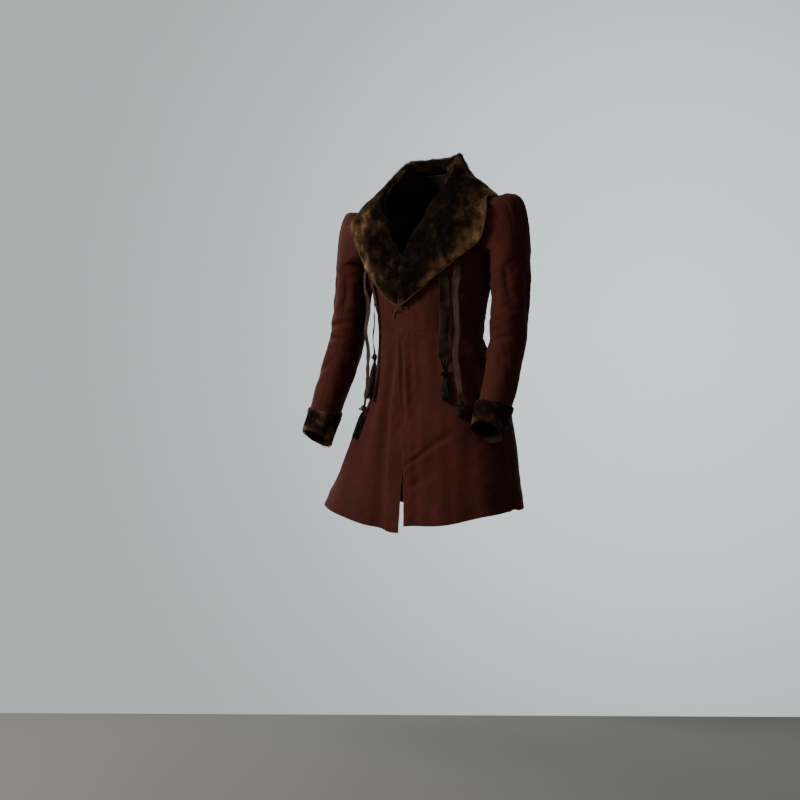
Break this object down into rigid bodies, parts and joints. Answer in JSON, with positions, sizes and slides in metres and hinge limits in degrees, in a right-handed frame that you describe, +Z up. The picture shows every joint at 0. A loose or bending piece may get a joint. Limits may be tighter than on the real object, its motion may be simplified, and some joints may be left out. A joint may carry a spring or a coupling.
{
  "type": "frock coat",
  "caption": "Fitted wool frock coat with flared skirts, a wide plush shawl collar, plush cuffs and tasselled ribbons, as worn.",
  "frame": {"origin": "on the neck's axis, level with the neckline seam at the nape, where the wearer's neck and shoulders hold the coat", "axes": "+Z up, -Y the way the wearer faces, +X the wearer's left"},
  "size_m": [0.6617, 0.3785, 0.9935],
  "materials": {
    "wool": "fulled wool, matt with a soft bloom",
    "plush": "crushed long-pile plush with a sheen",
    "silk": "dull ribbed silk",
    "cord": "twisted silk cord"
  },
  "bodies": {
    "root": {"bodice_front_left": "wool", "bodice_front_right": "wool", "skirt_front_left": "wool", "skirt_front_right": "wool", "back_left": "wool", "back_right": "wool", "sleeve_upper_left": "wool", "sleeve_upper_right": "wool", "sleeve_under_left": "wool", "sleeve_under_right": "wool", "collar_left": "plush", "collar_right": "plush", "cuff_left": "plush", "cuff_right": "plush", "ribbon_left_front": "silk", "ribbon_left_back": "silk", "ribbon_right_front": "silk", "ribbon_right_back": "silk", "tassel_left_front": "silk", "tassel_left_back": "silk", "tassel_right_front": "silk", "tassel_right_back": "silk", "collar_cord_left": "cord", "collar_cord_right": "cord"}
  },
  "joints": []
}
